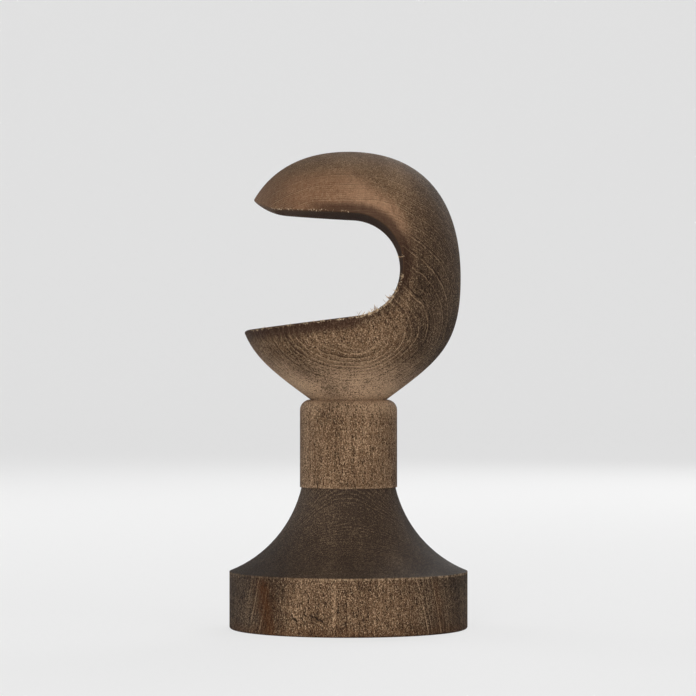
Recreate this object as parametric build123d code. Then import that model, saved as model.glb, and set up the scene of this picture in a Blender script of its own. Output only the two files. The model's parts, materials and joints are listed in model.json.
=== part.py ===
"""Turned wooden bracket for a 28 mm curtain rod.

One piece of hardwood, turned about the Z axis and standing on its wall face:
a round base, a cove, a cylindrical neck, a narrow groove and a tall oval head.
A U-shaped saddle runs right through the head along Y and opens towards -X,
so that the rod lies across the head. A pilot hole in the wall face takes the
wood thread of the wall screw.

Lengths are in millimetres and angles in degrees. +Z points away from the wall
and the origin is the centre of the wall face.
"""

import os
from math import cos, radians, sin, tan

from build123d import *

# Base: a plain disc with a straight rim
BASE_DIAMETER = 70.0
RIM_HEIGHT = 16.8
RIM_ARRIS = 1.0
FOOT_ARRIS = 0.7

# Cove from the rim up to the neck, set back a little under the neck
COVE_HEIGHT = 24.7
COVE_RADIUS = 35.0
QUIRK_DEPTH = 0.5

# Neck, rounded over at its top into the groove
NECK_DIAMETER = 28.6
NECK_LENGTH = 25.7
GROOVE_DIAMETER = 22.4

# Head: one oval curve from the groove over its widest level to the crown. The
# fullness says how far the curve swells where it starts, is widest and ends.
HEAD_DIAMETER = 66.0
BOWL_HEIGHT = 35.6
DOME_HEIGHT = 37.2
HEAD_FOOT_ANGLE = 36.5
FOOT_FULLNESS = 1.35
SIDE_FULLNESS = 1.44
CROWN_FULLNESS = 1.30

# Saddle for the rod: half round inside, its two jaws opening towards -X
ROD_DIAMETER = 28.0
ROD_PLAY = 1.5
SADDLE_OFFSET = 0.8
SADDLE_RISE = 3.4
LOWER_JAW_FALL = 7.0
UPPER_JAW_RISE = 3.0
SADDLE_ARRIS = 0.6

# Lips: where a jaw rolls over, measured inwards from the widest radius
UPPER_LIP_LENGTH = 14.5
UPPER_LIP_RADIUS = 16.0
LOWER_LIP_LENGTH = 4.5
LOWER_LIP_RADIUS = 6.0
LIP_TURN = 55.0

# Pilot hole for the wall screw, drilled along the turning axis
PILOT_DIAMETER = 5.0
PILOT_DEPTH = 30.0
PILOT_POINT_ANGLE = 118.0
PILOT_MOUTH_CHAMFER = 0.6

# How far a cutter runs past the wood
CUTTER_OVERRUN = 4.0

base_radius = BASE_DIAMETER / 2
neck_radius = NECK_DIAMETER / 2
groove_radius = GROOVE_DIAMETER / 2
head_radius = HEAD_DIAMETER / 2
saddle_radius = (ROD_DIAMETER + ROD_PLAY) / 2
pilot_radius = PILOT_DIAMETER / 2

neck_foot_level = RIM_HEIGHT + COVE_HEIGHT
neck_top_level = neck_foot_level + NECK_LENGTH
head_level = neck_top_level + BOWL_HEIGHT
head_top_level = head_level + DOME_HEIGHT
saddle_level = head_level + SADDLE_RISE


def turned_blank():
    """The whole turning before the saddle is cut: half its section, spun about Z."""
    shoulder = neck_radius - groove_radius
    foot_angle = radians(HEAD_FOOT_ANGLE)
    with BuildPart() as blank:
        with BuildSketch(Plane.XZ) as section:
            with BuildLine():
                base = Polyline((0, 0), (base_radius, 0), (base_radius, RIM_HEIGHT))
                cove_top = (neck_radius - QUIRK_DEPTH, neck_foot_level)
                RadiusArc(base @ 1, cove_top, COVE_RADIUS)
                neck_side = (neck_radius, neck_top_level - shoulder)
                Polyline(cove_top, (neck_radius, neck_foot_level), neck_side)
                CenterArc((groove_radius, neck_side[1]), shoulder, 0, 90)
                head = Spline(
                    (groove_radius, neck_top_level),
                    (head_radius, head_level),
                    (0, head_top_level),
                    tangents=[(cos(foot_angle), sin(foot_angle)), (0, 1), (-1, 0)],
                    tangent_scalars=[FOOT_FULLNESS, SIDE_FULLNESS, CROWN_FULLNESS],
                )
                Line(head @ 1, (0, 0))
            make_face()
            # The two rim corners, told apart by their height
            foot, top = section.vertices().sort_by(Axis.X)[-2:].sort_by(Axis.Z)
            fillet(foot, FOOT_ARRIS)
            fillet(top, RIM_ARRIS)
        revolve(axis=Axis.Z)
    return blank.part


def saddle_outline():
    """Half round with two jaws tangent to it, each ending in a lip that rolls over."""
    centre = Vector(SADDLE_OFFSET, saddle_level)
    fall, rise = radians(LOWER_JAW_FALL), radians(UPPER_JAW_RISE)
    mouth = -(head_radius + CUTTER_OVERRUN)
    with BuildSketch(Plane.XZ) as outline:
        with BuildLine():
            lower_start = centre + saddle_radius * Vector(sin(fall), -cos(fall))
            upper_start = centre + saddle_radius * Vector(sin(rise), cos(rise))
            lower_lip = jaw(lower_start, fall, -1, LOWER_LIP_LENGTH, LOWER_LIP_RADIUS, mouth)
            upper_lip = jaw(upper_start, rise, 1, UPPER_LIP_LENGTH, UPPER_LIP_RADIUS, mouth)
            ThreePointArc(lower_start, centre + Vector(saddle_radius, 0), upper_start)
            Line(lower_lip, upper_lip)
        make_face()
    return outline.sketch


def jaw(start, slope, side, lip_length, lip_radius, mouth):
    """Straight jaw face, then the lip's arc, then straight out; side is 1 above, -1 below."""
    lip_x = lip_length - head_radius
    run = start.X - lip_x
    lip_start = Vector(lip_x, start.Y + side * run * tan(slope))
    face = Line(start, lip_start)
    lip = JernArc(lip_start, face % 1, lip_radius, -side * LIP_TURN)
    leaving = lip % 1
    reach = (mouth - (lip @ 1).X) / leaving.X
    way_out = Line(lip @ 1, lip @ 1 + leaving * reach)
    return way_out @ 1


def pilot_hole():
    """Drilled hole with a conical bottom, its mouth chamfered, standing on the wall face."""
    point_depth = pilot_radius / tan(radians(PILOT_POINT_ANGLE / 2))
    mouth_radius = pilot_radius + PILOT_MOUTH_CHAMFER
    with BuildPart() as hole:
        with BuildSketch(Plane.XZ):
            Polygon(
                (0, 0),
                (mouth_radius, 0),
                (pilot_radius, PILOT_MOUTH_CHAMFER),
                (pilot_radius, PILOT_DEPTH - point_depth),
                (0, PILOT_DEPTH),
                align=None,
            )
        revolve(axis=Axis.Z)
    return hole.part


def rod_bracket():
    """The turned blank with the pilot hole and the saddle cut, the saddle's rims eased."""
    with BuildPart() as bracket:
        add(turned_blank())
        add(pilot_hole(), mode=Mode.SUBTRACT)
        extrude(
            saddle_outline(),
            amount=head_radius + CUTTER_OVERRUN,
            both=True,
            mode=Mode.SUBTRACT,
        )
        # Only where saddle and head meet is an edge neither straight nor round
        rims = bracket.edges(Select.NEW).filter_by(GeomType.BSPLINE)
        fillet(rims, SADDLE_ARRIS)
    return bracket.part


if __name__ == "__main__":
    os.makedirs("parts", exist_ok=True)
    export_step(rod_bracket(), "parts/bracket.step")
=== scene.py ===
"""Looks of a turned wooden bracket for a 28 mm curtain rod.

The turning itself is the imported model's one node. This script gives it its
stained, open-pored wood, adds the torn fibres that the cutter left along the
saddle's near rim, and sets it on a pale floor in soft studio light.

Every length is in metres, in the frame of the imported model: +Z away from the
wall, the rod along Y and the saddle open towards -X.
"""

import json
import logging
import math
import random
from dataclasses import dataclass
from enum import Enum
from typing import Any, List, Mapping, NamedTuple, Optional, Sequence, Tuple, Union

import bpy
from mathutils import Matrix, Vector
from mathutils.bvhtree import BVHTree


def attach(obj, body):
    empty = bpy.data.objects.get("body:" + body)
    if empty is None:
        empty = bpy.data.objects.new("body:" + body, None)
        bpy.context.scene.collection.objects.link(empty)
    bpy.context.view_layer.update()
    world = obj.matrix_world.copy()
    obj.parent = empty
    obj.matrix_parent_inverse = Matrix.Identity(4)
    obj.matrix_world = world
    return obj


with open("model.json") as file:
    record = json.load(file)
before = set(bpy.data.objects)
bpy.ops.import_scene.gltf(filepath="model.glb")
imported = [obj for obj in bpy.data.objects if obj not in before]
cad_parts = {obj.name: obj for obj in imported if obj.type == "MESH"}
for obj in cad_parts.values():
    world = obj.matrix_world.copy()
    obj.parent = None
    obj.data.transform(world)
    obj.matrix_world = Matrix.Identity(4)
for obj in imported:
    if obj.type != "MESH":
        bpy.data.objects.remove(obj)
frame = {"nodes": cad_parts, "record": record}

log = logging.getLogger("rod_bracket")

MM = 0.001

Colour = Tuple[float, float, float, float]
Number = Union[int, float]

# Two limits: a soft step's start and end, or the lowest and highest of a random value
Span = Tuple[float, float]


def srgb(red: int, green: int, blue: int) -> Colour:
    """Turn a colour of 0 to 255 as seen on a screen into a linear one.

    Args:
        red: Red, from 0 to 255.
        green: Green, from 0 to 255.
        blue: Blue, from 0 to 255.

    Returns:
        The linear colour with an alpha of 1.
    """
    linear = []
    for channel in (red, green, blue):
        share = channel / 255
        linear.append(share / 12.92 if share <= 0.04045 else ((share + 0.055) / 1.055) ** 2.4)
    return (linear[0], linear[1], linear[2], 1.0)


class Field:
    """One value that changes over a surface: a shader socket that can be added and multiplied."""

    def __init__(self, graph: "ShaderGraph", socket: bpy.types.NodeSocket) -> None:
        """Wrap a socket.

        Args:
            graph: The graph that the socket belongs to.
            socket: The output socket that carries the value.
        """
        self.graph = graph
        self.socket = socket

    def _maths(self, operation: str, *terms: Union["Field", Number]) -> "Field":
        """Add a Math node.

        Args:
            operation: The Math node's operation.
            terms: Its inputs in order.

        Returns:
            The node's result.
        """
        made = self.graph.node("ShaderNodeMath", {"operation": operation}, dict(enumerate(terms)))
        return Field(self.graph, made.outputs[0])

    def __add__(self, other: Union["Field", Number]) -> "Field":
        """Sum of the two."""
        return self._maths("ADD", self, other)

    __radd__ = __add__

    def __sub__(self, other: Union["Field", Number]) -> "Field":
        """This less the other."""
        return self._maths("SUBTRACT", self, other)

    def __rsub__(self, other: Number) -> "Field":
        """The other less this."""
        return self._maths("SUBTRACT", other, self)

    def __mul__(self, other: Union["Field", Number]) -> "Field":
        """Product of the two."""
        return self._maths("MULTIPLY", self, other)

    __rmul__ = __mul__

    def __truediv__(self, other: Union["Field", Number]) -> "Field":
        """This over the other."""
        return self._maths("DIVIDE", self, other)

    def __rtruediv__(self, other: Number) -> "Field":
        """The other over this."""
        return self._maths("DIVIDE", other, self)

    def __neg__(self) -> "Field":
        """This with its sign changed."""
        return self._maths("MULTIPLY", self, -1.0)

    def __abs__(self) -> "Field":
        """This without its sign."""
        return self._maths("ABSOLUTE", self)

    def fraction(self) -> "Field":
        """What is left of this after its whole part."""
        return self._maths("FRACT", self)

    def whole(self) -> "Field":
        """The whole part of this."""
        return self._maths("FLOOR", self)

    def root(self) -> "Field":
        """Square root of this."""
        return self._maths("SQRT", self)

    def at_least(self, other: Union["Field", Number]) -> "Field":
        """The larger of the two."""
        return self._maths("MAXIMUM", self, other)

    def step(self, low: float, high: float) -> "Field":
        """Go smoothly from 0 to 1.

        Args:
            low: Where the result is 0.
            high: Where the result is 1. It may lie below low.

        Returns:
            The smooth step.
        """
        made = self.graph.node(
            "ShaderNodeMapRange",
            {"interpolation_type": "SMOOTHSTEP"},
            {"Value": self, "From Min": low, "From Max": high},
        )
        return Field(self.graph, made.outputs[0])

    def bell(self, centre: float, reach: float) -> "Field":
        """Be 1 at a value and fall smoothly to 0 at both sides of it.

        Args:
            centre: Where the result is 1.
            reach: How far from the centre it is 0.

        Returns:
            The soft band.
        """
        return abs(self - centre).step(reach, 0.0)


@dataclass(frozen=True)
class Pattern:
    """One kind of smooth random values about 0.5."""

    waves: float
    layers: float
    roughness: float
    drawn: float
    start: float


class Grain(Enum):
    """The random values in the wood: waves a metre, layers, roughness, factor along Z and start.

    The smaller the factor along Z, the longer the marks are drawn out along the fibres.
    """

    BLOTCH = Pattern(75, 3, 0.55, 0.45, 0.4)
    STREAK = Pattern(1100, 3, 0.65, 0.05, 0.9)
    SPECK = Pattern(3700, 3, 0.75, 0.62, 0.2)
    PORE = Pattern(2600, 2, 0.6, 0.22, 0.7)
    DUST = Pattern(3600, 2, 0.7, 0.62, 1.3)
    WANDER = Pattern(45, 2, 0.5, 0.3, 2.0)
    RIPPLE = Pattern(420, 2, 0.5, 0.25, 3.0)
    GAP = Pattern(420, 3, 0.7, 1.0, 8.0)
    HEAD = Pattern(60, 3, 0.5, 1.0, 4.2)
    SIDE_SHADE = Pattern(120, 3, 0.6, 0.15, 5.1)
    RUST = Pattern(350, 3, 0.6, 0.3, 2.6)
    DARK_BAND = Pattern(260, 3, 0.6, 1.0, 9.4)
    ARRIS = Pattern(900, 3, 0.7, 1.0, 6.3)
    CLUMP = Pattern(1100, 2, 0.6, 1.0, 0.3)


class ShaderGraph:
    """The shader nodes of one material."""

    MIX_FACTOR = 0
    MIX_COLOURS = (6, 7)
    MIX_RESULT = 2

    def __init__(self, name: str) -> None:
        """Make a material with an empty node tree.

        Args:
            name: The material's name.
        """
        self.material = bpy.data.materials.new(name)
        self.material.use_nodes = True
        self.tree = self.material.node_tree
        self.tree.nodes.clear()

    def node(
        self,
        kind: str,
        settings: Optional[Mapping[str, Any]] = None,
        inputs: Optional[Mapping[Union[str, int], Any]] = None,
    ) -> bpy.types.Node:
        """Make any node.

        Args:
            kind: The node's type.
            settings: The node's own properties, set first.
            inputs: For each input, by name or number, a value, a socket or a Field.

        Returns:
            The new node.
        """
        made = self.tree.nodes.new(kind)
        for name, value in (settings or {}).items():
            setattr(made, name, value)
        for name, value in (inputs or {}).items():
            source = value.socket if isinstance(value, Field) else value
            if isinstance(source, bpy.types.NodeSocket):
                self.tree.links.new(source, made.inputs[name])
            else:
                made.inputs[name].default_value = source
        return made

    def mix(self, share: Field, first: Union[Field, Colour], second: Union[Field, Colour]) -> Field:
        """Mix two colours.

        Args:
            share: How much of the second shows.
            first: The colour where share is 0.
            second: The colour where share is 1.

        Returns:
            The mixed colour.
        """
        made = self.node(
            "ShaderNodeMix",
            {"data_type": "RGBA", "clamp_factor": True},
            {self.MIX_FACTOR: share, self.MIX_COLOURS[0]: first, self.MIX_COLOURS[1]: second},
        )
        return Field(self, made.outputs[self.MIX_RESULT])

    def finished(self, surface: bpy.types.NodeSocket) -> bpy.types.Material:
        """End the graph.

        Args:
            surface: The shader that the material shows.

        Returns:
            The finished material.
        """
        self.node("ShaderNodeOutputMaterial", None, {"Surface": surface})
        return self.material


@dataclass(frozen=True)
class Spot:
    """A place on the wood: as one vector and as its three distances."""

    graph: ShaderGraph
    place: Field
    x: Field
    y: Field
    z: Field

    @classmethod
    def on(cls, graph: ShaderGraph) -> "Spot":
        """Read the place that is shaded.

        Args:
            graph: The material's graph.

        Returns:
            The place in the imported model's frame.
        """
        place = Field(graph, graph.node("ShaderNodeTexCoord").outputs["Object"])
        parts = graph.node("ShaderNodeSeparateXYZ", None, {0: place})
        return cls(graph, place, *(Field(graph, output) for output in parts.outputs))

    def noise(self, grain: Grain) -> Field:
        """Read random values here.

        Args:
            grain: Which of them.

        Returns:
            The smooth random value, about 0.5.
        """
        kind = grain.value
        drawn = self.graph.node(
            "ShaderNodeVectorMath", {"operation": "MULTIPLY"}, {0: self.place, 1: (1, 1, kind.drawn)}
        )
        moved = self.graph.node(
            "ShaderNodeVectorMath", {"operation": "ADD"}, {0: drawn.outputs[0], 1: (kind.start,) * 3}
        )
        made = self.graph.node(
            "ShaderNodeTexNoise",
            None,
            {
                "Vector": moved.outputs[0],
                "Scale": kind.waves,
                "Detail": kind.layers,
                "Roughness": kind.roughness,
            },
        )
        return Field(self.graph, made.outputs[0])

    def stray(self, grain: Grain) -> Field:
        """Random values about 0, from -0.5 to 0.5."""
        return self.noise(grain) - 0.5


@dataclass(frozen=True)
class SaddleOutline:
    """The saddle in the XZ plane: a half round with a straight jaw above and below."""

    centre_x: float
    centre_z: float
    radius: float
    lower_fall: float = math.radians(7)
    upper_rise: float = math.radians(3)
    seam: float = 0.5 * MM

    @classmethod
    def from_record(cls, record: Mapping[str, Any]) -> "SaddleOutline":
        """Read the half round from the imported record's rod_saddle mount.

        Args:
            record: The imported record.

        Returns:
            The outline.
        """
        mount = next(m for m in record["mounts"] if m["name"] == "rod_saddle")
        return cls(mount["pos_m"][0], mount["pos_m"][2], mount["dims"]["r_mm"] * MM)

    def on_round(self, angle: float) -> Tuple[Vector, Vector]:
        """Find a point of the half round.

        Args:
            angle: From +X towards +Z, in radians.

        Returns:
            The point and the direction into the wood there, both with a Y of 0.
        """
        outward = Vector((math.cos(angle), 0, math.sin(angle)))
        return Vector((self.centre_x, 0, self.centre_z)) + outward * self.radius, outward

    def on_jaw(self, run: float, side: int) -> Tuple[Vector, Vector]:
        """Find a point of a jaw.

        Args:
            run: How far from the half round, towards the mouth.
            side: 1 for the upper jaw, -1 for the lower.

        Returns:
            The point and the direction into the wood there, both with a Y of 0.
        """
        slope = self.upper_rise if side > 0 else self.lower_fall
        start, outward = self.on_round(side * (math.pi / 2 - slope))
        along = Vector((-math.cos(slope), 0, side * math.sin(slope)))
        return start + along * run, outward

    def into_wood(self, at: Spot) -> Field:
        """Measure how far into the wood a place is.

        Args:
            at: The place.

        Returns:
            The distance from the outline.
        """
        across = at.x - self.centre_x
        up = at.z - self.centre_z
        run = (-across).at_least(0.0)
        above = up - self.radius - run * math.tan(self.upper_rise)
        below = -up - self.radius - run * math.tan(self.lower_fall)
        jaws = above.at_least(below)
        in_round = across.at_least(0.0)
        reach = (in_round * in_round + up * up).root() - self.radius
        beyond = across.step(0.0, self.seam)
        return beyond * reach + (1 - beyond) * jaws


@dataclass(frozen=True)
class Levels:
    """The two edges that part the turning: the rim's upper edge and the foot of the neck."""

    rim: float = 16.8 * MM
    neck: float = 41.5 * MM
    rim_blur: float = 0.2 * MM
    neck_blur: float = 0.1 * MM

    def above_rim(self, at: Spot) -> Field:
        """Mark what is above the rim's edge."""
        return at.z.step(self.rim - self.rim_blur, self.rim + self.rim_blur)

    def cove(self, at: Spot) -> Field:
        """Mark the cove, which is painted darker: partly stain soaked into its end grain, partly painted
        shade.

        Args:
            at: The place.

        Returns:
            1 between the two edges and 0 elsewhere.
        """
        below_neck = at.z.step(self.neck + self.neck_blur, self.neck - self.neck_blur)
        return self.above_rim(at) * below_neck


@dataclass(frozen=True)
class GrowthRings:
    """Growth rings round a pith behind the bracket, which lean more the higher they are."""

    pith_depth: float = 46 * MM
    width: float = 0.7 * MM
    fineness: float = 1.9
    tilt: float = 0.09
    bend: float = 1.75
    wander: float = 3.6 * MM
    ripple: float = 0.45 * MM
    faintest: float = 0.1
    late_middle: float = 0.84
    late_reach: float = 0.14
    early: Span = (0.6, 0.1)
    face_level: float = 89 * MM
    face_width: float = 19 * MM
    face_height: float = 8.5 * MM
    face_edge: Span = (1.3, 0.5)
    face_loss: float = 0.75
    head: Span = (68 * MM, 76 * MM)
    sides_middle: float = -2 * MM
    sides: Span = (17 * MM, 24 * MM)
    sides_share: float = 0.8
    cove_share: float = 0.75
    least: float = 0.12
    gaps: Span = (0.3, 0.55)

    def turns(self, at: Spot) -> Field:
        """Count the rings from the pith.

        Args:
            at: The place.

        Returns:
            The number of rings, with its fraction.
        """
        lean = at.z * self.tilt + at.z * at.z * self.bend
        back = self.pith_depth - at.y
        distance = (at.x * at.x + back * back).root() - lean
        distance = distance + at.stray(Grain.WANDER) * self.wander + at.stray(Grain.RIPPLE) * self.ripple
        return distance / self.width

    def drawn(self, graph: ShaderGraph, turns: Field) -> Tuple[Field, Field]:
        """Draw each ring with a strength of its own.

        Args:
            graph: The material's graph.
            turns: The number of rings from the pith.

        Returns:
            The light late wood and the dark early wood, each from 0 to 1.
        """
        lottery = graph.node("ShaderNodeTexWhiteNoise", {"noise_dimensions": "1D"}, {"W": turns.whole()})
        luck = Field(graph, lottery.outputs["Value"])
        strength = luck * luck * (1 - self.faintest) + self.faintest
        part = turns.fraction()
        return part.bell(self.late_middle, self.late_reach) * strength, part.step(*self.early) * strength

    def clearness(self, at: Spot, cove: Field) -> Field:
        """Say where the rings show: on the head and along both sides, hardly on neck and rim.

        Args:
            at: The place.
            cove: 1 in the cove.

        Returns:
            How clearly they show, from 0 to 1.
        """
        across, up = at.x / self.face_width, (at.z - self.face_level) / self.face_height
        face = (across * across + up * up).step(*self.face_edge)
        head = at.z.step(*self.head) * (1 - face * self.face_loss)
        sides = abs(at.x - self.sides_middle).step(*self.sides) * self.sides_share
        shown = head.at_least(sides).at_least(cove * self.cove_share).at_least(self.least)
        return shown * at.noise(Grain.GAP).step(*self.gaps)


@dataclass(frozen=True)
class Specks:
    """Dark pores and light fibre ends, where the cutter met the side grain."""

    late_pull: float = 0.1
    early_pull: float = 0.06
    streak_pull: float = 0.09
    blotch_pull: float = 0.16
    pore_pull: float = 0.6
    dark: Span = (0.47, 0.385)
    pore: Span = (0.56, 0.62)
    light: Span = (0.545, 0.63)
    dust: Span = (0.64, 0.72)
    dust_share: float = 0.6
    edge_blur: float = 0.3 * MM
    neck_blur: float = 0.2 * MM
    cove_loss: float = 0.56
    neck_gain: float = 0.48
    crown: Span = (100 * MM, 122 * MM)
    crown_loss: float = 0.35

    def torn(self, at: Spot, levels: Levels) -> Field:
        """Say how torn the grain is: most on the rim, less on neck and head, least in the cove.

        Args:
            at: The place.
            levels: The rim's edge and the foot of the neck.

        Returns:
            How torn it is, from 0 to 1.
        """
        cove = at.z.step(levels.rim - self.edge_blur, levels.rim + self.edge_blur)
        neck = at.z.step(levels.neck - self.neck_blur, levels.neck + self.neck_blur)
        crown = at.z.step(*self.crown)
        return 1.0 - cove * self.cove_loss + neck * self.neck_gain - crown * self.crown_loss

    def crowd(self, late: Field, early: Field, lined: Field, streak: Field, blotch: Field) -> Field:
        """Say which specks crowd together.

        Args:
            late: The late wood.
            early: The early wood.
            lined: How clearly both show.
            streak: The wood's streaks, about 0.5.
            blotch: The stain's blotches, about 0.5.

        Returns:
            More than 0 where light specks crowd and less where dark ones do.
        """
        rings = (late * self.late_pull - early * self.early_pull) * lined
        return rings + (0.5 - streak) * self.streak_pull + (0.5 - blotch) * self.blotch_pull

    def drawn(self, at: Spot, crowd: Field, torn: Field) -> Tuple[Field, Field]:
        """Draw the specks.

        Args:
            at: The place.
            crowd: Which specks crowd together.
            torn: How torn the grain is.

        Returns:
            How much of the dark and of the light specks shows.
        """
        fine = at.noise(Grain.SPECK) + crowd
        pore = at.noise(Grain.PORE) - crowd * self.pore_pull
        dust = at.noise(Grain.DUST).step(*self.dust) * self.dust_share
        dark = fine.step(*self.dark).at_least(pore.step(*self.pore)) * torn
        light = (fine.step(*self.light) * torn).at_least(dust)
        return dark, light


@dataclass(frozen=True)
class PaintedHeadLight:
    """Painted light on the head: a lighter, warmer front of the upper jaw where it faces up, and a paler
    foot where it faces down.
    """

    stray: float = 5 * MM
    front: Span = (12 * MM, -12 * MM)
    droop_from: float = -4 * MM
    droop: float = 34
    top: Span = (136 * MM, 130 * MM)
    underside: Span = (107 * MM, 117 * MM)
    right: Span = (22 * MM, 13 * MM)
    bright_from: Span = (-7 * MM, 5 * MM)
    lit_foot_level: float = 71.5 * MM
    lit_foot_reach: float = 10 * MM

    def masks(self, at: Spot) -> Tuple[Field, Field]:
        """Mark both.

        Args:
            at: The place.

        Returns:
            1 on the upper jaw, and 1 at the foot.
        """
        level = at.z + at.stray(Grain.HEAD) * self.stray
        front = at.y.step(*self.front)
        right = at.x.at_least(self.droop_from) - self.droop_from
        top = level + right * right * self.droop
        jaw = top.step(*self.top) * at.z.step(*self.underside) * at.x.step(*self.right) * front
        # the second mask is painted light on the down-facing foot of the head
        return jaw, level.bell(self.lit_foot_level, self.lit_foot_reach) * front

    def bright(self, at: Spot, jaw: Field) -> Field:
        """Mark the painted highlight on the upper jaw, brightest towards the half round."""
        return jaw * at.x.step(*self.bright_from)


@dataclass(frozen=True)
class SideShade:
    """Painted shade along the right side and the left of base and cove, and darker under the rim's edge."""

    stray: float = 14 * MM
    right: Span = (12 * MM, 26 * MM)
    left: Span = (-15 * MM, -26 * MM)
    left_share: float = 1.12
    head_from: Span = (45 * MM, 70 * MM)
    head_loss: float = 0.8
    edge_below: Span = (8 * MM, 15 * MM)
    edge_end: Span = (17.2 * MM, 16.6 * MM)
    edge_share: float = 0.25

    def mask(self, at: Spot) -> Field:
        """Mark the painted shade of the sides and the darker band under the rim's edge.

        Args:
            at: The place.

        Returns:
            How dark it is, from 0 to a little over 1.
        """
        shifted = at.x + at.stray(Grain.SIDE_SHADE) * self.stray
        left = shifted.step(*self.left) * (1 - at.z.step(*self.head_from) * self.head_loss)
        edge = at.z.step(*self.edge_below) * at.z.step(*self.edge_end)
        return shifted.step(*self.right) + left * self.left_share + edge * self.edge_share


@dataclass(frozen=True)
class RustStain:
    """Warm stain along the foot and in two streaks up the rim of the base."""

    stray: float = 5 * MM
    slant: float = 0.12
    left_at: float = -22.8 * MM
    left_reach: float = 4.2 * MM
    right_at: float = 27 * MM
    right_reach: float = 2.5 * MM
    right_share: float = 0.4
    top: Span = (18 * MM, 13 * MM)
    front: Span = (10 * MM, -10 * MM)
    foot_stray: float = 6 * MM
    foot: Span = (4 * MM, 0.5 * MM)
    foot_share: float = 0.4

    def mask(self, at: Spot) -> Field:
        """Mark the stain.

        Args:
            at: The place.

        Returns:
            How stained the wood is, from 0 to 1.
        """
        stray = at.stray(Grain.RUST)
        shifted = at.x + stray * self.stray + at.z * self.slant
        left = shifted.bell(self.left_at, self.left_reach)
        right = shifted.bell(self.right_at, self.right_reach) * self.right_share
        streaks = (left + right) * at.z.step(*self.top) * at.y.step(*self.front)
        foot = (at.z + stray * self.foot_stray).step(*self.foot)
        return streaks.at_least(foot * self.foot_share)


@dataclass(frozen=True)
class SaddleShadeMarks:
    """Darkening round the saddle: a rim of painted shade, darker bands beside it and a dark inside."""

    rim_reach: float = 4.2 * MM
    clean_from: Span = (104 * MM, 116 * MM)
    clean_left: Span = (0.0, -9 * MM)
    clean_left_share: float = 0.5
    clean_share: float = 0.32
    dark_band_stray: float = 2.4 * MM
    below: Span = (100 * MM, 96 * MM)
    below_from: Span = (80 * MM, 86 * MM)
    below_depth: Span = (4.8 * MM, 2.2 * MM)
    below_left: Span = (10 * MM, -1 * MM)
    lip_stray: float = 3 * MM
    lip: Span = (-24.5 * MM, -28.5 * MM)
    above: Span = (97 * MM, 103 * MM)
    above_depth: Span = (4.0 * MM, 1.6 * MM)
    above_right: Span = (-15 * MM, -6 * MM)
    inside_depth: Span = (0.45 * MM, 0.27 * MM)

    def rim(self, at: Spot, depth: Field) -> Field:
        """Mark the painted shade along the saddle's rim, which is fainter along the upper jaw.

        Args:
            at: The place.
            depth: Distance into the wood from the saddle.

        Returns:
            How dark it is, from 0 to 1.
        """
        left = at.x.step(*self.clean_left) * self.clean_left_share + self.clean_share
        return depth.bell(0.0, self.rim_reach) * (1 - at.z.step(*self.clean_from) * left)

    def dark_bands_and_shade(self, at: Spot, depth: Field) -> Field:
        """Mark smooth dark bands under the lower jaw's rim and at its lip, and painted shade above the half
        round.

        Args:
            at: The place.
            depth: Distance into the wood from the saddle.

        Returns:
            How dark the scorched wood is, from 0 to 1.
        """
        stray = at.stray(Grain.DARK_BAND)
        wander = depth + stray * self.dark_band_stray
        band = wander.step(*self.below_depth) * at.x.step(*self.below_left)
        lip = (at.x + stray * self.lip_stray).step(*self.lip)
        below = band.at_least(lip) * (at.z.step(*self.below) * at.z.step(*self.below_from))
        above = wander.step(*self.above_depth) * at.x.step(*self.above_right) * at.z.step(*self.above)
        return below + above

    def inside(self, depth: Field) -> Field:
        """Mark the saddle's own surface."""
        return depth.step(*self.inside_depth)


@dataclass(frozen=True)
class ArrisFibresAndHighlight:
    """Bare light fibres and a painted highlight along the edge of the rim and the foot of the neck."""

    rim_below: float = 0.25 * MM
    rim_reach: float = 0.5 * MM
    rim_right: Span = (-14 * MM, -2 * MM)
    rim_least: float = 0.25
    neck_above: float = 0.3 * MM
    neck_reach: float = 0.4 * MM
    neck_share: float = 0.6
    broken: Span = (0.42, 0.60)

    def mask(self, at: Spot, levels: Levels) -> Field:
        """Mark the bare fibres and the painted highlight.

        Args:
            at: The place.
            levels: The rim's edge and the foot of the neck.

        Returns:
            How light they are, from 0 to 1.
        """
        along = at.x.step(*self.rim_right) * (1 - self.rim_least) + self.rim_least
        rim = at.z.bell(levels.rim - self.rim_below, self.rim_reach) * along
        neck = at.z.bell(levels.neck + self.neck_above, self.neck_reach) * self.neck_share
        return (rim + neck) * at.noise(Grain.ARRIS).step(*self.broken)


@dataclass(frozen=True)
class Gouge:
    """A short gouge that slants down to the right over the front of the base."""

    x: float
    z: float
    reach: float
    breadth: float = 0.36 * MM
    slant: float = math.radians(-42)
    edge: Span = (1.0, 0.35)

    def mask(self, at: Spot) -> Field:
        """Mark where the wood is torn out.

        Args:
            at: The place.

        Returns:
            1 in the gouge and 0 beside it.
        """
        aside, up = at.x - self.x, at.z - self.z
        along = (aside * math.cos(self.slant) + up * math.sin(self.slant)) / self.reach
        across = (up * math.cos(self.slant) - aside * math.sin(self.slant)) / self.breadth
        return (along * along + across * across).step(*self.edge)


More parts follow.
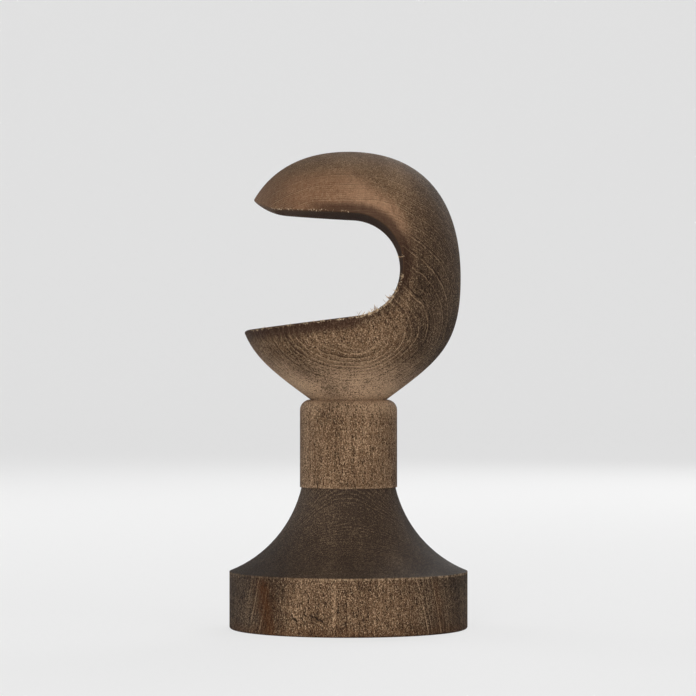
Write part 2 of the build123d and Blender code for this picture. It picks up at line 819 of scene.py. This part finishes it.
@dataclass(frozen=True)
class Gouges:
    """The group of gouges low on the front of the base."""

    each: Tuple[Gouge, ...] = (
        Gouge(-15.2 * MM, 4.9 * MM, 1.1 * MM),
        Gouge(-12.4 * MM, 6.3 * MM, 0.7 * MM),
        Gouge(-10.4 * MM, 6.0 * MM, 0.9 * MM),
        Gouge(-9.0 * MM, 5.4 * MM, 1.3 * MM),
        Gouge(-7.7 * MM, 4.8 * MM, 1.0 * MM),
    )
    front: Span = (0.0, -1 * MM)

    def mask(self, at: Spot) -> Field:
        """Mark where any of them has torn the wood.

        Args:
            at: The place.

        Returns:
            1 in a gouge and 0 beside them.
        """
        torn = self.each[0].mask(at)
        for gouge in self.each[1:]:
            torn = torn.at_least(gouge.mask(at))
        return torn * at.y.step(*self.front)


class Coat(NamedTuple):
    """A colour that is laid over the wood: where, how far it covers, and which."""

    where: Field
    cover: float
    colour: Colour


@dataclass(frozen=True)
class StainedWood:
    """Open-pored hardwood under a walnut stain, cut by a lathe and left matt."""

    body: Colour = srgb(112, 85, 62)
    early: Colour = srgb(88, 66, 46)
    late: Colour = srgb(168, 137, 105)
    dark_speck: Colour = srgb(36, 25, 16)
    light_speck: Colour = srgb(200, 169, 134)
    # cove: darker for the stain in its end grain, and darker still with painted shade
    cove: Colour = srgb(40, 33, 29)
    # colour of the painted shade on the sides and along the saddle's rim
    painted_shade: Colour = srgb(50, 37, 28)
    # painted light on the up-facing front of the upper jaw
    jaw: Colour = srgb(121, 87, 63)
    # the brightest painted light on the upper jaw
    bright: Colour = srgb(166, 129, 100)
    # painted light on the down-facing foot of the head
    pale: Colour = srgb(204, 169, 136)
    # the saddle's inside: cut end grain, darkened further with painted shade
    cut: Colour = srgb(78, 57, 43)
    # colour of the dark bands by the saddle, which above the half round are painted shade
    dark_bands_and_shade: Colour = srgb(52, 32, 22)
    rust: Colour = srgb(78, 45, 19)
    dark_streaks: Span = (0.52, 0.72)
    light_streaks: Span = (0.48, 0.28)
    dark_blotches: Span = (0.48, 0.75)
    cut_streaks: Span = (0.35, 0.65)
    fine_late_share: float = 0.7
    fine_early_share: float = 0.5
    cove_line_loss: float = 0.82
    cove_pore_loss: float = 0.4
    jaw_smoothness: float = 0.6
    cut_least: float = 0.55
    cut_streaked: float = 0.35
    ring_relief: float = 0.4
    fibre_relief: float = 0.5
    streak_relief: float = 0.4
    gouge_relief: float = 1.5
    roughness: float = 0.63
    dark_roughness: float = 0.2
    light_smoothness: float = 0.05
    blotch_roughness: float = 0.1
    cut_roughness: float = 0.4
    specular: float = 0.12
    bump_strength: float = 0.8
    bump_height: float = 0.2 * MM
    levels: Levels = Levels()
    rings: GrowthRings = GrowthRings()
    specks: Specks = Specks()
    head: PaintedHeadLight = PaintedHeadLight()
    side_shade: SideShade = SideShade()
    rust_stain: RustStain = RustStain()
    marks: SaddleShadeMarks = SaddleShadeMarks()
    arris_fibres_and_highlight: ArrisFibresAndHighlight = ArrisFibresAndHighlight()
    gouges: Gouges = Gouges()

    def material(self, saddle: SaddleOutline, name: str = "stained_wood") -> bpy.types.Material:
        """Make the material.

        Args:
            saddle: Where the saddle is cut.
            name: The material's name.

        Returns:
            The finished material.
        """
        graph = ShaderGraph(name)
        at = Spot.on(graph)
        depth = saddle.into_wood(at)
        cove = self.levels.cove(at)
        lined = self.rings.clearness(at, cove)
        turns = self.rings.turns(at)
        late, early = self.rings.drawn(graph, turns)
        fine_late, fine_early = self.rings.drawn(graph, turns * self.rings.fineness)
        late_lines = late.at_least(fine_late * self.fine_late_share)
        # painted light on the upper jaw and at the foot of the head
        jaw, foot = self.head.masks(at)
        # painted shade on the sides that turn away from the front light, and the rust stain
        painted_shade, rust = self.side_shade.mask(at), self.rust_stain.mask(at)
        # painted shade along the saddle's rim, and the saddle's own surface
        rim, inside = self.marks.rim(at, depth), self.marks.inside(depth)
        gouged = self.gouges.mask(at)
        blotch, streak = at.noise(Grain.BLOTCH), at.noise(Grain.STREAK)
        cut_streaks = streak.step(*self.cut_streaks)
        crowd = self.specks.crowd(late, early, lined, streak, blotch)
        torn = self.specks.torn(at, self.levels) * (1 - jaw * self.jaw_smoothness)
        dark, light = self.specks.drawn(at, crowd, torn)
        # light specks thin out under the rust and under the painted shade of sides, saddle rim and cove
        for where, loss in ((rust, 0.7), (painted_shade, 0.42), (rim, 0.75), (cove, 0.4)):
            light = light * (1 - where * loss)

        colour = self._coated(
            graph,
            # painted light on the up-facing front of the upper jaw
            Coat(jaw, 1.0, self.jaw),
            # the brightest painted light on the upper jaw
            Coat(self.head.bright(at, jaw), 0.55, self.bright),
            # painted light on the down-facing foot of the head
            Coat(foot, 1.0, self.pale),
            Coat(streak.step(*self.dark_streaks), 0.4, self.early),
            Coat(streak.step(*self.light_streaks), 0.3, self.late),
            Coat(blotch.step(*self.dark_blotches), 0.4, self.early),
            # painted shade where the sides turn away from the front light
            Coat(painted_shade, 0.82, self.painted_shade),
            Coat(rust, 0.95, self.rust),
            # painted shade along the saddle's rim
            Coat(rim, 0.75, self.painted_shade),
            # the cove, darkened partly by end-grain stain and partly by painted shade
            Coat(cove, 0.86, self.cove),
            Coat((early + fine_early * self.fine_early_share) * lined, 0.5, self.dark_speck),
            Coat(late_lines * lined * (1 - cove * self.cove_line_loss), 1.0, self.late),
            Coat(dark * (1 - cove * self.cove_pore_loss), 1.0, self.dark_speck),
            Coat(light, 1.0, self.light_speck),
            Coat(rust, 0.3, self.rust),
            # dark bands by the saddle: painted shade above the half round, darker wood under the lower jaw
            Coat(self.marks.dark_bands_and_shade(at, depth), 0.72, self.dark_bands_and_shade),
            # bare fibres and a painted highlight along the rim's edge and the neck's foot
            Coat(self.arris_fibres_and_highlight.mask(at, self.levels), 0.55, self.light_speck),
            # the saddle's inside, dark for its cut end grain and for painted shade
            Coat(inside * (cut_streaks * self.cut_streaked + self.cut_least), 1.0, self.cut),
            Coat(gouged, 0.9, self.dark_speck),
        )
        height = late * lined * self.ring_relief + light * self.fibre_relief - dark
        height = height + streak * self.streak_relief - gouged * self.gouge_relief
        bump = graph.node(
            "ShaderNodeBump",
            None,
            {"Strength": self.bump_strength, "Distance": self.bump_height, "Height": height},
        )
        rough = dark * self.dark_roughness - light * self.light_smoothness
        rough = rough + blotch * self.blotch_roughness + inside * self.cut_roughness + self.roughness
        shader = graph.node(
            "ShaderNodeBsdfPrincipled",
            None,
            {
                "Base Color": colour,
                "Roughness": rough,
                "Normal": bump.outputs[0],
                "Specular IOR Level": self.specular,
            },
        )
        return graph.finished(shader.outputs[0])

    def _coated(self, graph: ShaderGraph, *coats: Coat) -> Union[Field, Colour]:
        """Lay coats over the wood's own colour.

        Args:
            graph: The material's graph.
            coats: The coats, lowest first.

        Returns:
            The colour that shows.
        """
        colour = self.body
        for coat in coats:
            colour = graph.mix(coat.where * coat.cover, colour, coat.colour)
        return colour


@dataclass(frozen=True)
class BareFibre:
    """Wood fibres that the stain has hardly reached."""

    pale: Colour = srgb(206, 182, 150)
    stained: Colour = srgb(120, 93, 68)
    clumps: Span = (0.36, 0.62)
    roughness: float = 0.8
    specular: float = 0.2

    def material(self, name: str = "bare_fibre") -> bpy.types.Material:
        """Make the material.

        Args:
            name: The material's name.

        Returns:
            The finished material.
        """
        graph = ShaderGraph(name)
        clump = Spot.on(graph).noise(Grain.CLUMP)
        colour = graph.mix(clump.step(*self.clumps), self.stained, self.pale)
        shader = graph.node(
            "ShaderNodeBsdfPrincipled",
            None,
            {"Base Color": colour, "Roughness": self.roughness, "Specular IOR Level": self.specular},
        )
        return graph.finished(shader.outputs[0])


@dataclass(frozen=True)
class PalePaper:
    """Plain pale paper for the floor and what is behind the bracket."""

    paper: Colour = (0.80, 0.80, 0.80, 1.0)
    glow: Colour = (0.94, 0.94, 0.94, 1.0)
    glow_share: float = 0.72

    def material(self, name: str = "pale_paper") -> bpy.types.Material:
        """Make the material, which looks a little brighter to the camera than it is.

        Args:
            name: The material's name.

        Returns:
            The finished material.
        """
        graph = ShaderGraph(name)
        path = graph.node("ShaderNodeLightPath")
        seen = Field(graph, path.outputs["Is Camera Ray"])
        matt = graph.node("ShaderNodeBsdfDiffuse", None, {"Color": self.paper})
        glow = graph.node("ShaderNodeEmission", None, {"Color": self.glow, "Strength": 1.0})
        mixed = graph.node(
            "ShaderNodeMixShader", None, {0: seen * self.glow_share, 1: matt.outputs[0], 2: glow.outputs[0]}
        )
        return graph.finished(mixed.outputs[0])


def smooth_object(
    name: str,
    points: Sequence[Sequence[float]],
    faces: Sequence[Sequence[int]],
    finish: bpy.types.Material,
) -> bpy.types.Object:
    """Put a mesh with smooth shading into the scene.

    Args:
        name: The object's name.
        points: Its points.
        faces: Its faces, as numbers of points.
        finish: Its material.

    Returns:
        The new object.
    """
    mesh = bpy.data.meshes.new(name)
    mesh.from_pydata(points, [], faces)
    mesh.polygons.foreach_set("use_smooth", [True] * len(mesh.polygons))
    mesh.materials.append(finish)
    made = bpy.data.objects.new(name, mesh)
    bpy.context.scene.collection.objects.link(made)
    return made


class Sprout(NamedTuple):
    """Where one fibre stands in the XZ plane, where it heads and the longest that it may be."""

    root: Vector
    heading: Vector
    longest: float


@dataclass
class TornFibres:
    """Whiskers of wood that the cutter left standing along the saddle's near rim.

    The tufts' angles on the half round are in degrees, from +X towards +Z.
    """

    rim: SaddleOutline
    tuft_count: int = 30
    tuft_angles: Span = (-88, 12)
    tuft_mode: float = -62
    tuft_sizes: Tuple[int, int] = (3, 13)
    tuft_spread: float = 1.3
    tuft_lengths: Span = (0.3, 1.0)
    tuft_unrest: float = 0.35
    tuft_overhang: Span = (0.2, 0.9)
    jaw_overhang: Span = (0.2, 1.0)
    lower_count: int = 100
    upper_count: int = 70
    upper_run: float = 27 * MM
    lower_run: float = 31 * MM
    inner_bias: float = 0.5
    round_longest: float = 2.8 * MM
    jaw_longest: float = 0.8 * MM
    shortest: float = 0.35 * MM
    short_bias: float = 1.5
    thickness: float = 0.12 * MM
    thickness_spread: Span = (0.6, 1.5)
    taper: float = 0.8
    lean: Tuple[Span, Span, Span] = ((-0.8, 0.8), (-0.9, -0.1), (-0.4, 0.7))
    curl: Tuple[Span, Span, Span] = ((-1, 1), (-0.5, 0.5), (-1, 1))
    curl_share: float = 0.35
    sunk: float = 0.1 * MM
    set_back: Span = (0.1 * MM, 0.6 * MM)
    steps: int = 4
    sides: int = 4
    seed: int = 28
    seen_from: float = -0.2

    def build(self, wood: bpy.types.Object, finish: bpy.types.Material) -> bpy.types.Object:
        """Grow the fibres on the turned wood.

        Args:
            wood: The turning's own object.
            finish: The fibres' material.

        Returns:
            One object that holds every fibre.
        """
        dice = random.Random(self.seed)
        surface = BVHTree.FromObject(wood, bpy.context.evaluated_depsgraph_get())
        points: List[Vector] = []
        faces: List[Tuple[int, ...]] = []
        for sprout in self._tufts(dice) + self._singles(dice):
            start = Vector((sprout.root.x, self.seen_from, sprout.root.z))
            hit = surface.ray_cast(start, Vector((0, 1, 0)))[0]
            if hit is None or hit.y > 0:
                continue
            self._fibre(dice, sprout._replace(root=hit), points, faces)
        made = smooth_object("torn_fibres", points, faces, finish)
        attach(made, "root")
        return made

    @staticmethod
    def _within(dice: random.Random, spans: Sequence[Span]) -> Vector:
        """Any vector whose three parts lie within their spans."""
        return Vector([dice.uniform(*span) for span in spans])

    def _tufts(self, dice: random.Random) -> List[Sprout]:
        """Choose where the fibres of the half round stand, a few together and alike.

        Args:
            dice: Where the chances come from.

        Returns:
            The fibres to grow.
        """
        chosen = []
        for _ in range(self.tuft_count):
            middle = dice.triangular(*self.tuft_angles, self.tuft_mode)
            longest = self.round_longest * dice.uniform(*self.tuft_lengths)
            lean = self._within(dice, self.lean)
            for _ in range(dice.randint(*self.tuft_sizes)):
                point, outward = self.rim.on_round(math.radians(dice.gauss(middle, self.tuft_spread)))
                heading = lean + self._within(dice, self.lean) * self.tuft_unrest
                heading = heading - outward * dice.uniform(*self.tuft_overhang)
                root = point + outward * dice.uniform(*self.set_back)
                chosen.append(Sprout(root, heading, longest))
        return chosen

    def _singles(self, dice: random.Random) -> List[Sprout]:
        """Choose where the short fibres of the two jaws stand.

        Args:
            dice: Where the chances come from.

        Returns:
            The fibres to grow.
        """
        runs = [(self.lower_run * dice.random(), -1) for _ in range(self.lower_count)]
        runs += [(self.upper_run * dice.random() ** self.inner_bias, 1) for _ in range(self.upper_count)]
        chosen = []
        for run, side in runs:
            point, outward = self.rim.on_jaw(run, side)
            heading = self._within(dice, self.lean) - outward * dice.uniform(*self.jaw_overhang)
            root = point + outward * dice.uniform(*self.set_back)
            chosen.append(Sprout(root, heading, self.jaw_longest))
        return chosen

    def _fibre(
        self,
        dice: random.Random,
        sprout: Sprout,
        points: List[Vector],
        faces: List[Tuple[int, ...]],
    ) -> None:
        """Add one curved, tapered fibre to the lists.

        Args:
            dice: Where the chances come from.
            sprout: The fibre, with its root on the wood.
            points: The mesh's points so far.
            faces: The mesh's faces so far.
        """
        length = self.shortest + (sprout.longest - self.shortest) * dice.random() ** self.short_bias
        heading = sprout.heading.normalized()
        curl = self._within(dice, self.curl)
        width = self.thickness * dice.uniform(*self.thickness_spread)
        centre = sprout.root - heading * self.sunk
        first = len(points)
        for step in range(self.steps):
            across = heading.orthogonal().normalized()
            beside = heading.cross(across)
            narrowed = width * (1 - self.taper * step / (self.steps - 1))
            for side in range(self.sides):
                turn = 2 * math.pi * side / self.sides
                points.append(centre + (across * math.cos(turn) + beside * math.sin(turn)) * narrowed)
            centre = centre + heading * length / (self.steps - 1)
            heading = (heading + curl * self.curl_share).normalized()
        for step in range(self.steps - 1):
            for side in range(self.sides):
                lower = first + step * self.sides
                upper = lower + self.sides
                following = (side + 1) % self.sides
                faces.append((lower + side, lower + following, upper + following, upper + side))
        faces.append(tuple(first + side for side in reversed(range(self.sides))))
        last = first + (self.steps - 1) * self.sides
        faces.append(tuple(last + side for side in range(self.sides)))


@dataclass
class Turning:
    """The turned wood of the bracket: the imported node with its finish."""

    node: str = "bracket"

    def dress(self, finish: bpy.types.Material) -> bpy.types.Object:
        """Give the turned wood its material.

        Args:
            finish: The stained wood.

        Returns:
            The node's object.
        """
        wood = frame["nodes"][self.node]
        wood.data.materials.clear()
        wood.data.materials.append(finish)
        return wood


@dataclass
class Stage:
    """Pale floor that curves up all round into a wall."""

    floor_radius: float = 2.4
    bend_radius: float = 0.8
    wall_height: float = 2.6
    bend_steps: int = 16
    round_steps: int = 96

    def build(self, finish: bpy.types.Material) -> bpy.types.Object:
        """Turn the floor, its bend and its wall about Z.

        Args:
            finish: The floor's material.

        Returns:
            The floor.
        """
        outline = self._outline()
        points = [(0.0, 0.0, 0.0)]
        for radius, height in outline:
            for spoke in range(self.round_steps):
                turn = 2 * math.pi * spoke / self.round_steps
                points.append((radius * math.cos(turn), radius * math.sin(turn), height))
        faces = []
        for spoke in range(self.round_steps):
            following = (spoke + 1) % self.round_steps
            faces.append((0, 1 + spoke, 1 + following))
            for ring in range(len(outline) - 1):
                low = 1 + ring * self.round_steps
                high = low + self.round_steps
                faces.append((low + spoke, high + spoke, high + following, low + following))
        floor = smooth_object("floor", points, faces, finish)
        return floor

    def _outline(self) -> List[Tuple[float, float]]:
        """Draw the stage's section from the floor's edge to the top of its wall.

        Returns:
            Radius and height of each of its points.
        """
        outline = [(self.floor_radius, 0.0)]
        for step in range(1, self.bend_steps + 1):
            turn = math.pi / 2 * step / self.bend_steps
            out, up = self.bend_radius * math.sin(turn), self.bend_radius * (1 - math.cos(turn))
            outline.append((self.floor_radius + out, up))
        outline.append((self.floor_radius + self.bend_radius, self.wall_height))
        return outline


@dataclass(frozen=True)
class SoftLamp:
    """A soft square lamp that faces the bracket."""

    name: str
    place: Tuple[float, float, float]
    size: float
    power: float
    aim: float = 70 * MM

    def hang(self) -> bpy.types.Object:
        """Hang the lamp in the scene.

        Returns:
            The lamp.
        """
        light = bpy.data.lights.new(self.name, "AREA")
        light.shape = "SQUARE"
        light.size = self.size
        light.energy = self.power
        lamp = bpy.data.objects.new(self.name, light)
        lamp.location = self.place
        towards = Vector((0, 0, self.aim)) - Vector(self.place)
        lamp.rotation_euler = towards.to_track_quat("-Z", "Y").to_euler()
        bpy.context.scene.collection.objects.link(lamp)
        return lamp


@dataclass
class Studio:
    """The stage, soft lamps all round, an even world and the level camera that looks along the rod."""

    lamps: Tuple[SoftLamp, ...] = (
        SoftLamp("front_lamp", (-0.2, -1.35, 0.2), 0.4, 14.8),
        SoftLamp("right_lamp", (0.9, -0.9, 0.5), 0.7, 2.7),
        SoftLamp("back_lamp", (0.4, 1.0, 0.7), 0.8, 6.5),
        SoftLamp("left_lamp", (-0.8, 0.6, 0.4), 0.7, 3.4),
    )
    world_strength: float = 0.245
    camera_distance: float = 1.0
    camera_height: float = 82.35 * MM
    camera_aside: float = -0.15 * MM
    seen_width: float = 204.7 * MM
    sensor: float = 36.0

    def build(self) -> None:
        """Make the stage, the lamps, the world and the camera."""
        Stage().build(PalePaper().material())
        self._world()
        for lamp in self.lamps:
            lamp.hang()
        self._camera()
        bpy.context.scene.view_settings.view_transform = "Standard"

    def _world(self) -> None:
        """Light everything evenly."""
        world = bpy.data.worlds.new("soft_room")
        world.use_nodes = True
        ground = world.node_tree.nodes["Background"]
        ground.inputs["Color"].default_value = (1.0, 1.0, 1.0, 1.0)
        ground.inputs["Strength"].default_value = self.world_strength
        bpy.context.scene.world = world

    def _camera(self) -> bpy.types.Object:
        """Set up the camera.

        Returns:
            The camera.
        """
        data = bpy.data.cameras.new("camera")
        data.sensor_width = self.sensor
        data.lens = self.sensor * self.camera_distance / self.seen_width
        camera = bpy.data.objects.new("camera", data)
        camera.location = (self.camera_aside, -self.camera_distance, self.camera_height)
        camera.rotation_euler = (math.pi / 2, 0, 0)
        bpy.context.scene.collection.objects.link(camera)
        bpy.context.scene.camera = camera
        return camera


def main() -> None:
    """Dress the turning, grow its fibres, set up the studio and log the turning's name and the fibres' face
    count.
    """
    logging.basicConfig(level=logging.INFO, format="%(name)s: %(message)s")
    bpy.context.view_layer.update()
    saddle = SaddleOutline.from_record(frame["record"])
    finish = StainedWood().material(saddle)
    wood = Turning().dress(finish)
    log.info("dressed %s", wood.name)
    fibres = TornFibres(saddle).build(wood, BareFibre().material())
    log.info("grew %s with %d faces", fibres.name, len(fibres.data.polygons))
    Studio().build()
    log.info("set up the studio")


if __name__ == "__main__":
    main()
